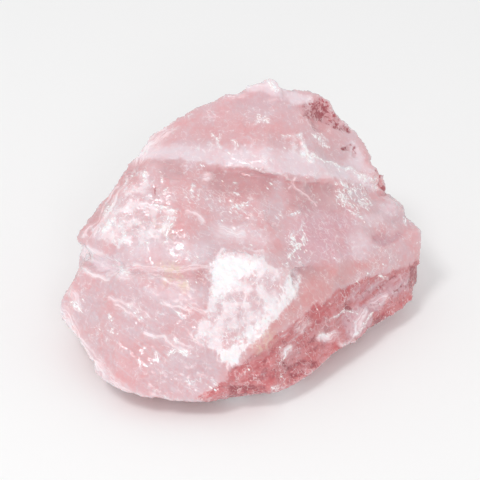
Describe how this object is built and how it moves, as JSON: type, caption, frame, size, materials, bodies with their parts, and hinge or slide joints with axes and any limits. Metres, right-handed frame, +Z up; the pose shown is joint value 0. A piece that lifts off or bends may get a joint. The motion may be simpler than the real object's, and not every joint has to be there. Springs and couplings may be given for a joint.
{
  "type": "rose quartz chunk",
  "caption": "Rough chunk of rose quartz with flat and shell-shaped fracture faces, a pale lip, a notch and a stepped wall, resting on a flat break.",
  "frame": {"origin": "on the ground, in the middle of the chunk's bounding box", "axes": "+Z up, +X along the longest extent to the right of the picture, +Y away from the viewer of the picture"},
  "size_m": [0.0726, 0.063, 0.0456],
  "materials": {
    "rose_quartz": "cloudy pink quartz, glassy on its fracture faces and frosted white in patches, with milky bands"
  },
  "bodies": {
    "root": {"rose_quartz_chunk": "rose_quartz"}
  },
  "joints": []
}
